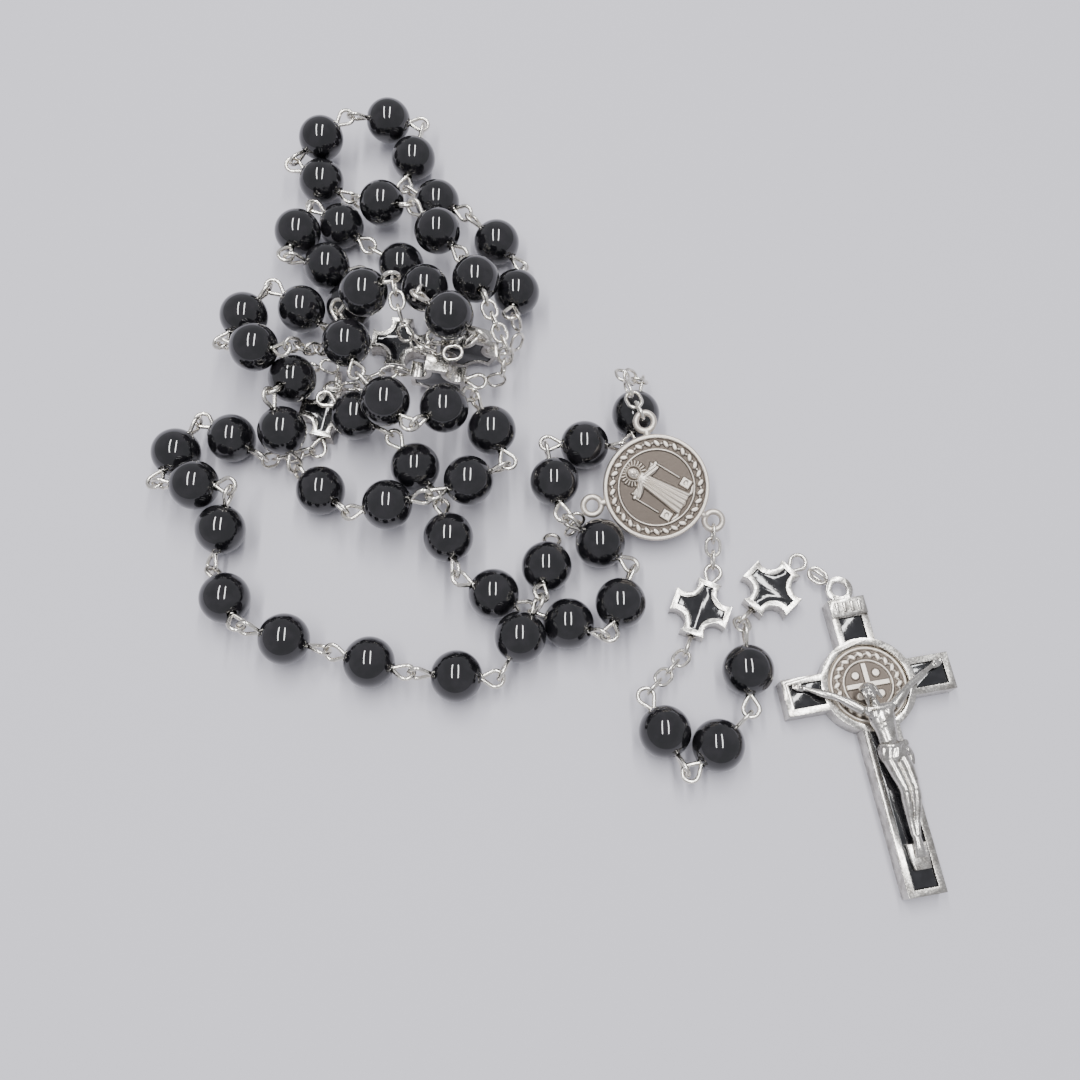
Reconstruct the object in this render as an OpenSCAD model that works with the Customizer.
// Rosary in a loose heap: five decades of round glass beads on wire eye pins,
// six small enamelled crosses, a round centre medal, a three-bead pendant and
// an enamelled crucifix.  Millimetres, +Z up, back of the crucifix on Z = 0.

/* [Beads] */
// Bead diameter
bead_d = 8; // [6:0.5:10]
// Bore through a bead
bore_d = 1.5; // [1:0.1:2]
// Wire of the eye pins
wire_d = 0.7; // [0.5:0.05:0.9]
// Centre-line radius of a wire eye
eye_r = 1.25; // [1:0.05:1.5]
// Bead centre to eye centre
eye_reach = 6.05; // [5.5:0.05:7]

/* [Cable chain] */
// Length of one oval link
oval_l = 3.6; // [3:0.1:5]
// Width of one oval link
oval_w = 2.8; // [2.2:0.1:3.5]
// Wire of the oval links
oval_wire = 0.55; // [0.4:0.05:0.8]

/* [Small crosses] */
// Width across the arms
pater_w = 9.2; // [8:0.1:11]
// Thickness
pater_t = 2.9; // [2:0.1:4]
// Width of an arm at its end
pater_arm = 4; // [3:0.1:5]
// Radius of the notch between two arms
pater_notch = 1.86; // [1.4:0.02:2.2]
// Width of the bright rim
pater_rim = 0.85; // [0.5:0.05:1.2]

/* [Centre medal] */
// Medal diameter
medal_d = 17.2; // [14:0.1:22]
// Medal thickness
medal_t = 1.9; // [1.4:0.1:3]
// Lean of the medal on the beads behind it
medal_lean = 22; // [0:1:40]

/* [Crucifix] */
// Height of the cross above its crossing
cru_up = 14; // [10:0.5:20]
// Height of the cross below its crossing
cru_down = 31.5; // [25:0.5:40]
// Half width across the arms
cru_half = 13.3; // [10:0.1:18]
// Width of an arm
cru_arm = 5.8; // [4:0.1:8]
// Thickness of the metal body
cru_t = 3.6; // [2.5:0.1:5]
// Width of the raised rim
cru_rim = 1.05; // [0.6:0.05:1.5]
// Outer diameter of the round centre
cru_disc = 14.7; // [12:0.1:18]

/* [Hidden] */
$fn = 72;
link_l = 13.8;
bead_at = 6.5;
eye_in = bead_at - eye_reach;
eye_out = bead_at + eye_reach;
tail = 2.45;
up = [0, 0, 1];
oval_r = (oval_w - oval_wire) / 2;
oval_s = (oval_l - oval_w) / 2;
notch_at = (pater_w / 2 + pater_arm / 2) / 2 + 0.14;
pater_eye = 6.7;
link_step = 2.33;
hook_gap = 0.85;
shift = [-0.1, -15.1, 0];

black = [0.05, 0.05, 0.06];
silver = [0.83, 0.81, 0.76];
nickel = [0.72, 0.71, 0.68];
antique = [0.6, 0.54, 0.45];

// Lay of the decades and the pendant: the point that each hinge aims at, chosen by
// hand in whole millimetres.  Every link keeps its real length on the way there.
d1_path = [[2, 1, 2], [0, -11, 8], [-6, -22, 4], [-20, -22, 5], [-34, -18, 4],
           [-47, -15, 7], [-53, -4, 2], [-49, 8, 9], [-62, 9, 6], [-56, 23, 4],
           [-45, 14, 4]];
d2_path = [[-39, 32, 3], [-44, 22, 12], [-40, 12, 2], [-30, 3, 7], [-16, 6, 9], [-5, 12, 7],
           [-11, 24, 8], [-21, 15, 14], [-29, 25, 12], [-34, 38, 11], [-24, 40, 18]];
d3_path = [[-41, 29, 14], [-54, 33, 9], [-46, 44, 9], [-34, 36, 5], [-31, 50, 4],
           [-44, 50, 9], [-41, 62, 6], [-29, 55, 3], [-20, 48, 5], [-20, 39, 15],
           [-9, 31, 14]];
d4_path = [[-5, 39, 8], [-3, 52, 3], [-13, 61, 6], [-25, 68, 4], [-22, 79, 5], [-36, 81, 8],
           [-45, 72, 6], [-33, 65, 4], [-21, 59, 11], [-11, 48, 8], [-8, 36, 15]];
d5_path = [[-36, 24, 7], [-24, 17, 7], [-16, 6, 5], [-13, -7, 7], [-2, -11, 2],
           [11, -17, 7], [15, -4, 3], [4, 3, 6], [1, 16, 5], [13, 16, 5], [17, 27, 4]];
pend_path = [[16, -25, 4], [22, -37, 4], [32, -28, 4], [32, -15, 4]];

// Lay of the small crosses: centre, then the heading and rise of
// the pin, the roll of the face and the roll of the pin.
c1_at = [-36, 23.5, 1.6];
c1_lay = [79, 0, 0, 0];
c2_at = [-24.5, 37, 1.6];
c2_lay = [174, 0, 0, 0];
c3_at = [-17, 29, 5];
c3_lay = [172, 0, 90, 0];
c4_at = [-12, 34.5, 5];
c4_lay = [0, -30, 90, 0];
c5_at = [25.5, -11, 1.6];
c5_lay = [249, 0, 0, 0];
c6_at = [37, -7.7, 1.6];
c6_lay = [45, 0, 0, 90];

medal_at = [18.7, 8.1, 6.5];
medal_loop_r = 10.7;
loop_left = 196;
loop_top = 100;
loop_low = -30;
figure_turn = 59;

cru_at = [50.6, -23.4, 0];
cru_turn = 10;
cru_loop_at = cru_up + 1.9;

function dir(h, r) = [cos(r) * cos(h), cos(r) * sin(h), sin(r)];
function side(h) = [-sin(h), cos(h), 0];
function crown(h, r) = [-sin(r) * cos(h), -sin(r) * sin(h), cos(r)];
function heading(v) = atan2(v[1], v[0]);
function rise(v) = asin(v[2] / norm(v));
function pivot(path, k) = k == 0 ? path[0] : pivot(path, k - 1) + link_l * aim(path, k - 1);
function aim(path, k) =
  let (v = path[k + 1] - pivot(path, k))
  v / norm(v);

// Axis two neighbouring pins fold about, leaning to the vertical when nearly straight.
function fold(a, b) =
  let (c = cross(a, b), v = (c[2] < 0 ? -1 : 1) * c + 0.15 * up)
  v / norm(v);
function fold_at(path, k) =
  k <= 0 || k >= len(path) - 1 ? up : fold(aim(path, k - 1), aim(path, k));
function roll_to(n, v) = atan2(-n * side(heading(v)), n * crown(heading(v), rise(v)));

// A point a given way along a path of straight runs.
function run(path, i) = norm(path[i + 1] - path[i]);
function total(path, i = 0) = i >= len(path) - 1 ? 0 : run(path, i) + total(path, i + 1);
function along(path, s, i = 0) =
  i >= len(path) - 2 || s <= run(path, i)
    ? path[i] + (path[i + 1] - path[i]) * s / run(path, i)
    : along(path, s - run(path, i), i + 1);

function start_hook(path) =
  let (v = aim(path, 0))
  [path[0] + eye_in * v, crown(heading(v), rise(v)), eye_r, hook_gap];
function end_hook(path) =
  let (k = len(path) - 2, v = aim(path, k))
  [pivot(path, k) + eye_out * v, side(heading(v)), eye_r, hook_gap];
function pater_hook(at, lay, way) =
  [at + way * pater_eye * dir(lay[0], lay[1]),
   rolled(way < 0 ? lay[3] : lay[3] + 90, lay[0], lay[1]), eye_r, hook_gap];
function rolled(a, h, r) = cos(a) * crown(h, r) - sin(a) * side(h);
function leaned(v) = [v[0], v[1] * cos(medal_lean), v[1] * sin(medal_lean)];
function medal_hook(a) =
  [medal_at + leaned(medal_loop_r * [cos(a), sin(a)]),
   [0, -sin(medal_lean), cos(medal_lean)], 1.5, 0.6];
function cru_hook() =
  [cru_at + [-cru_loop_at * sin(cru_turn), cru_loop_at * cos(cru_turn), cru_t / 2], up, 1.7, 0.6];
function in_ring(eye, point) =
  let (v = point - eye[0], u = v - (v * eye[1]) * eye[1])
  u / norm(u);

module lay(p, v) translate(p) rotate([0, -rise(v), heading(v)]) children();

// ---- wire ----

module eye() {
  flare = asin(eye_r / tail);
  rotate([0, 0, -(90 + flare)])
    rotate_extrude(angle = 180 + 2 * flare) translate([eye_r, 0]) circle(d = wire_d);
  for (m = [0, 1])
    mirror([0, m, 0])
      translate([-tail, 0, 0])
        rotate([0, 0, flare])
          rotate([0, 90, 0]) {
            cylinder(d = wire_d, h = tail * cos(flare));
            translate([0, 0, tail * cos(flare)]) sphere(d = wire_d + 0.06);
          }
}

module eye_pin(roll_in, roll_out, reach = eye_reach) {
  half = reach - tail + 0.5;
  translate([-half, 0, 0]) rotate([0, 90, 0]) cylinder(d = 1, h = 2 * half);
  rotate([roll_in, 0, 0]) translate([-reach, 0, 0]) rotate([0, 0, 180]) eye();
  rotate([roll_out + 90, 0, 0]) translate([reach, 0, 0]) eye();
}

module oval() {
  for (m = [0, 1])
    mirror([m, 0, 0])
      translate([oval_s, 0, 0])
        rotate([0, 0, -90]) rotate_extrude(angle = 180) translate([oval_r, 0]) circle(d = oval_wire);
  for (y = [-oval_r, oval_r])
    translate([0, y, 0]) rotate([0, 90, 0]) cylinder(d = oval_wire, h = 2 * oval_s, center = true);
}

// Oval links from one eye to the next, past the points in between.  An eye is its
// centre, the axis of its ring, the ring's radius and the first gap of the chain.
module cable(from, past, to) {
  near = len(past) > 0 ? past[0] : to[0];
  far = len(past) > 0 ? past[len(past) - 1] : from[0];
  pull_a = in_ring(from, near);
  pull_b = in_ring(to, far);
  path = concat([from[0] + from[2] * pull_a], past, [to[0] + to[2] * pull_b]);
  room = total(path) - from[3] - to[3];
  n = max(0, ceil(room / link_step)) + 1;
  step = n > 1 ? room / (n - 1) : 0;
  first = n > 1 ? from[3] : total(path) / 2;
  last = total(path) - (n > 1 ? to[3] : first);
  run_a = along(path, first + 0.6) - path[0];
  run_b = path[len(path) - 1] - along(path, last - 0.6);
  roll_a = roll_to(cross(from[1], pull_a), run_a);
  roll_b = roll_to(cross(to[1], pull_b), run_b);
  turns = round((roll_b - roll_a) / 180 - (n - 1) / 2);
  turn = n > 1 ? (roll_b - roll_a - 180 * turns) / (n - 1) : 0;
  color(silver)
    for (i = [0:n - 1]) {
      here = first + i * step;
      v = along(path, here + 0.6) - along(path, here - 0.6);
      lay(along(path, here), v) rotate([roll_a + turn * i, 0, 0]) oval();
    }
}

// ---- beads ----

module bead()
  color(black)
    rotate([0, 90, 0])
      difference() {
        sphere(d = bead_d);
        cylinder(d = bore_d, h = bead_d + 1, center = true);
      }

module beads(path, which)
  for (k = which)
    lay(pivot(path, k), aim(path, k)) translate([bead_at, 0, 0]) bead();

module pins(path, which)
  color(silver)
    for (k = which)
      lay(pivot(path, k), aim(path, k))
        translate([bead_at, 0, 0])
          eye_pin(roll_to(fold_at(path, k), aim(path, k)), roll_to(fold_at(path, k + 1), aim(path, k)));

// ---- small crosses ----

module pater_shape(inset)
  difference() {
    square(pater_w - 2 * inset, center = true);
    for (a = [45:90:315])
      rotate(a) translate([notch_at * sqrt(2), 0]) circle(r = pater_notch + inset);
    for (a = [45:90:315])
      rotate(a) translate([pater_w / 2 + 1.9, 0]) square([3, 4], center = true);
  }

module pater_frame(at, lay_of)
  color(nickel)
    lay(at, dir(lay_of[0], lay_of[1]))
      rotate([lay_of[2], 0, 0])
        difference() {
          linear_extrude(pater_t, center = true) pater_shape(0);
          for (s = [-1, 1])
            translate([0, 0, s * pater_t / 2])
              linear_extrude(1, center = true) pater_shape(pater_rim);
          rotate([0, 90, 0]) cylinder(d = 1.5, h = pater_w + 2, center = true);
        }

module pater_enamel(at, lay_of)
  color(black)
    lay(at, dir(lay_of[0], lay_of[1]))
      rotate([lay_of[2], 0, 0])
        for (s = [-1, 1])
          translate([0, 0, s * (pater_t / 2 - 0.3)])
            linear_extrude(0.4, center = true) pater_shape(pater_rim);

module pater_pin(at, lay_of)
  color(silver)
    lay(at, dir(lay_of[0], lay_of[1])) eye_pin(lay_of[3], lay_of[3], pater_eye);

// ---- centre medal ----

module medal_loops()
  for (a = [loop_left, loop_top, loop_low])
    rotate(a)
      difference() {
        union() {
          translate([medal_loop_r, 0, 0]) cylinder(d = 3.9, h = 1, center = true);
          translate([medal_loop_r - 2.2, 0, 0]) cube([1.6, 2.6, 0.9], center = true);
        }
        translate([medal_loop_r, 0, 0]) cylinder(d = 2.1, h = 3, center = true);
      }

module medal_figure()
  rotate(figure_turn) {
    linear_extrude(0.55)
      polygon([[-0.9, 3.6], [0.9, 3.6], [1.5, 1.4], [1.9, -5.4], [-1.9, -5.4], [-1.5, 1.4]]);
    for (s = [-1, 1])
      linear_extrude(0.5)
        polygon([[s * 0.6, 3.4], [s * 1.4, 3.2], [s * 3.4, 1.2], [s * 3.2, 0.2], [s * 1.1, 1.4]]);
    translate([0, 4.6, 0.1]) sphere(r = 0.95);
    difference() {
      translate([0, 4.6, 0]) cylinder(r = 2.5, h = 0.25);
      translate([0, 4.6, -0.1]) cylinder(r = 2.1, h = 0.6);
    }
    for (s = [-1, 1])
      translate([s * 3.3, -4.2, 0]) linear_extrude(0.4) square([1.5, 1.8], center = true);
  }

module centre_medal()
  color(antique)
    translate(medal_at)
      rotate([medal_lean, 0, 0]) {
        face = medal_t / 2 - 0.35;
        difference() {
          cylinder(d = medal_d, h = medal_t, center = true);
          translate([0, 0, face]) cylinder(d = medal_d - 1.4, h = 2);
          translate([0, 0, -face - 2]) cylinder(d = medal_d - 1.4, h = 2);
        }
        medal_loops();
        translate([0, 0, face - 0.05])
          difference() {
            cylinder(r = 6.35, h = 0.3);
            translate([0, 0, -0.2]) cylinder(r = 5.95, h = 1);
          }
        for (a = [0:15:345])
          rotate(a) translate([7.1, 0, face - 0.05]) cylinder(r = 0.3, h = 0.3, $fn = 24);
        translate([0, 0, face - 0.05]) medal_figure();
      }

// ---- crucifix ----

module on_crucifix() translate(cru_at) rotate(cru_turn) children();

module cru_outline(inset) {
  w = cru_arm - 2 * inset;
  translate([-w / 2, -cru_down + inset]) square([w, cru_down + cru_up - 2 * inset]);
  translate([-cru_half + inset, -w / 2]) square([2 * (cru_half - inset), w]);
}

// The four enamel fields, cut short by the round centre.
module cru_fields()
  difference() {
    cru_outline(cru_rim);
    circle(d = cru_disc);
    translate([-10, cru_up - 3.1]) square([20, 4]);
  }

module crucifix_frame()
  color(nickel)
    on_crucifix()
      difference() {
        union() {
          linear_extrude(cru_t) cru_outline(0);
          cylinder(d = cru_disc, h = cru_t);
          translate([0, cru_loop_at, cru_t / 2]) cylinder(d = 4.3, h = 1, center = true);
          translate([0, cru_up + 0.2, cru_t / 2]) cube([2.6, 1.4, 1.4], center = true);
        }
        translate([0, 0, cru_t - 0.9]) linear_extrude(2) cru_fields();
        translate([0, 0, cru_t - 0.9]) cylinder(d = cru_disc - 2 * cru_rim, h = 2);
        translate([0, cru_loop_at, 0]) cylinder(d = 2.5, h = 20, center = true);
      }

module crucifix_enamel()
  color(black)
    on_crucifix() translate([0, 0, cru_t - 0.9]) linear_extrude(0.6) cru_fields();

module crucifix_medallion()
  color(nickel)
    on_crucifix()
      translate([0, 0, cru_t - 0.9]) {
        cylinder(d = cru_disc - 2 * cru_rim - 0.1, h = 0.45);
        for (r = [3.9, 5.7])
          difference() {
            cylinder(r = r, h = 0.65);
            translate([0, 0, -0.1]) cylinder(r = r - 0.3, h = 1);
          }
        for (a = [0:90:270])
          rotate(a + 45) translate([2.4, 0, 0]) cylinder(r = 0.7, h = 0.6, $fn = 24);
        for (a = [0:20:340])
          rotate(a) translate([4.8, 0, 0]) cylinder(r = 0.25, h = 0.6, $fn = 16);
      }

module title_plate()
  color(nickel)
    on_crucifix()
      translate([0, cru_up - 1.55, cru_t]) {
        translate([-2.9, -1.45, 0]) cube([5.8, 2.9, 0.5]);
        for (x = [-1.8, -0.6, 0.6, 1.8])
          translate([x - 0.2, -0.8, 0.4]) cube([0.4, 1.6, 0.3]);
      }

module footrest()
  color(nickel)
    on_crucifix()
      translate([0.2, -25.6, cru_t - 0.3])
        linear_extrude(0.9) polygon([[-1.6, 1.6], [1.6, 1.6], [1.3, -2.3], [-1.3, -2.3]]);

module limb(a, b, ra, rb)
  hull() {
    translate(a) sphere(r = ra, $fn = 14);
    translate(b) sphere(r = rb, $fn = 14);
  }

module corpus_body() {
  for (s = [-1, 1]) {
    limb([s * 2.2, -4.2, 1.5], [s * 5.8, -1.3, 1.2], 0.8, 0.62);
    limb([s * 5.8, -1.3, 1.2], [s * 9.6, 0.7, 0.55], 0.62, 0.5);
    limb([s * 9.6, 0.7, 0.55], [s * 10.9, 1.1, 0.45], 0.55, 0.5);
    limb([s * 1.1, -10.6, 1.3], [s * 0.9 + 1, -16.6, 2.0], 1.05, 0.8);
    limb([s * 0.9 + 1, -16.6, 2.0], [s * 0.3 + 0.2, -22.6, 1.3], 0.75, 0.5);
  }
  limb([-1.9, -4.4, 1.5], [1.9, -4.4, 1.5], 1, 1);
  limb([0, -5.2, 1.5], [0.2, -9.5, 1.3], 1.9, 1.45);
  limb([-0.9, -10.4, 1.4], [1.2, -10.2, 1.4], 1.45, 1.45);
  limb([0.2, -22.6, 1.3], [0.2, -25.8, 1.2], 0.7, 0.6);
  limb([-0.3, -3.8, 1.9], [-1.1, -2.2, 2.1], 0.7, 0.8);
  translate([-1.3, -1.6, 2.2]) sphere(r = 1.45, $fn = 20);
}

module corpus()
  color(nickel)
    on_crucifix()
      translate([0, 0, cru_t]) {
        intersection() {
          corpus_body();
          translate([-20, -40, 0.02]) cube([40, 60, 10]);
        }
        for (x = [-10.6, 10.6])
          translate([x, 1.05, -0.29]) cylinder(r = 0.35, h = 0.8, $fn = 16);
      }

// ---- nodes ----

all10 = [0:9];

module chain_medal_d1()
  cable(medal_hook(loop_left), [[5.6, 3.4, 3.2], [4.9, 1.6, 1.9]], start_hook(d1_path));
module chain_d1_c1()
  cable(end_hook(d1_path), [[-43.6, 15.4, 1.8], [-41, 16.3, 1.5]],
        pater_hook(c1_at, c1_lay, -1));
module chain_c1_d2()
  cable(pater_hook(c1_at, c1_lay, 1), [[-36.5, 33, 2.2]], start_hook(d2_path));
module chain_d2_c2()
  cable(end_hook(d2_path), [[-23, 36, 15], [-22, 33, 11], [-19.5, 33.5, 4.5]],
        pater_hook(c2_at, c2_lay, -1));
module chain_c2_d3()
  cable(pater_hook(c2_at, c2_lay, 1),
        [[-34.5, 33.5, 5.5], [-38.5, 31, 11]],
        start_hook(d3_path));
module chain_d3_c4()
  cable(end_hook(d3_path), [[-14, 29, 12], [-19, 31, 11.5]],
        pater_hook(c4_at, c4_lay, -1));
module chain_c4_d4()
  cable(pater_hook(c4_at, c4_lay, 1), [[-3.6, 36, 4]], start_hook(d4_path));
module chain_d4_c3()
  cable(end_hook(d4_path), [[-5.5, 31.5, 10], [-6.4, 28.2, 5.5]],
        pater_hook(c3_at, c3_lay, -1));
module chain_c3_d5()
  cable(pater_hook(c3_at, c3_lay, 1), [[-31, 27.2, 4.9], [-34.9, 26.8, 5.6]],
        start_hook(d5_path));
module chain_d5_medal()
  cable(end_hook(d5_path), [[13, 27.5, 9.5]], medal_hook(loop_top));
module pendant_chain_1()
  cable(medal_hook(loop_low), [], pater_hook(c5_at, c5_lay, -1));
module pendant_chain_2()
  cable(pater_hook(c5_at, c5_lay, 1), [], start_hook(pend_path));
module pendant_chain_3()
  cable(end_hook(pend_path), [], pater_hook(c6_at, c6_lay, -1));
module pendant_chain_4()
  cable(pater_hook(c6_at, c6_lay, 1), [], cru_hook());

translate(shift) centre_medal();
translate(shift) pater_frame(c1_at, c1_lay);  // cross_1_frame
translate(shift) pater_enamel(c1_at, c1_lay);  // cross_1_enamel
translate(shift) pater_frame(c2_at, c2_lay);  // cross_2_frame
translate(shift) pater_enamel(c2_at, c2_lay);  // cross_2_enamel
translate(shift) pater_frame(c3_at, c3_lay);  // cross_3_frame
translate(shift) pater_enamel(c3_at, c3_lay);  // cross_3_enamel
translate(shift) pater_frame(c4_at, c4_lay);  // cross_4_frame
translate(shift) pater_enamel(c4_at, c4_lay);  // cross_4_enamel
translate(shift) {  // loop_cross_pins
  pater_pin(c1_at, c1_lay);
  pater_pin(c2_at, c2_lay);
  pater_pin(c3_at, c3_lay);
  pater_pin(c4_at, c4_lay);
}
translate(shift) pater_frame(c5_at, c5_lay);  // cross_5_frame
translate(shift) pater_enamel(c5_at, c5_lay);  // cross_5_enamel
translate(shift) pater_pin(c5_at, c5_lay);  // cross_5_pin
translate(shift) pater_frame(c6_at, c6_lay);  // cross_6_frame
translate(shift) pater_enamel(c6_at, c6_lay);  // cross_6_enamel
translate(shift) pater_pin(c6_at, c6_lay);  // cross_6_pin
translate(shift) beads(d1_path, [0, 1, 8, 9]);  // decade_1_beads
translate(shift) beads(d1_path, [2]);  // decade_1_bead_3
translate(shift) beads(d1_path, [3]);  // decade_1_bead_4
translate(shift) beads(d1_path, [4]);  // decade_1_bead_5
translate(shift) beads(d1_path, [5]);  // decade_1_bead_6
translate(shift) beads(d1_path, [6]);  // decade_1_bead_7
translate(shift) beads(d1_path, [7]);  // decade_1_bead_8
translate(shift) pins(d1_path, all10);  // decade_1_pins
translate(shift) beads(d2_path, all10);  // decade_2_beads
translate(shift) pins(d2_path, all10);  // decade_2_pins
translate(shift) beads(d3_path, all10);  // decade_3_beads
translate(shift) pins(d3_path, all10);  // decade_3_pins
translate(shift) beads(d4_path, all10);  // decade_4_beads
translate(shift) pins(d4_path, all10);  // decade_4_pins
translate(shift) beads(d5_path, all10);  // decade_5_beads
translate(shift) pins(d5_path, all10);  // decade_5_pins
translate(shift) chain_medal_d1();
translate(shift) chain_d1_c1();
translate(shift) chain_c1_d2();
translate(shift) chain_d2_c2();
translate(shift) chain_c2_d3();
translate(shift) chain_d3_c4();
translate(shift) chain_c4_d4();
translate(shift) chain_d4_c3();
translate(shift) chain_c3_d5();
translate(shift) chain_d5_medal();
translate(shift) pendant_chain_1();
translate(shift) pendant_chain_2();
translate(shift) pendant_chain_3();
translate(shift) pendant_chain_4();
translate(shift) beads(pend_path, [0]);  // pendant_bead_1
translate(shift) pins(pend_path, [0]);  // pendant_pin_1
translate(shift) beads(pend_path, [1]);  // pendant_bead_2
translate(shift) pins(pend_path, [1]);  // pendant_pin_2
translate(shift) beads(pend_path, [2]);  // pendant_bead_3
translate(shift) pins(pend_path, [2]);  // pendant_pin_3
translate(shift) crucifix_frame();
translate(shift) crucifix_enamel();
translate(shift) crucifix_medallion();
translate(shift) title_plate();
translate(shift) footrest();
translate(shift) corpus();
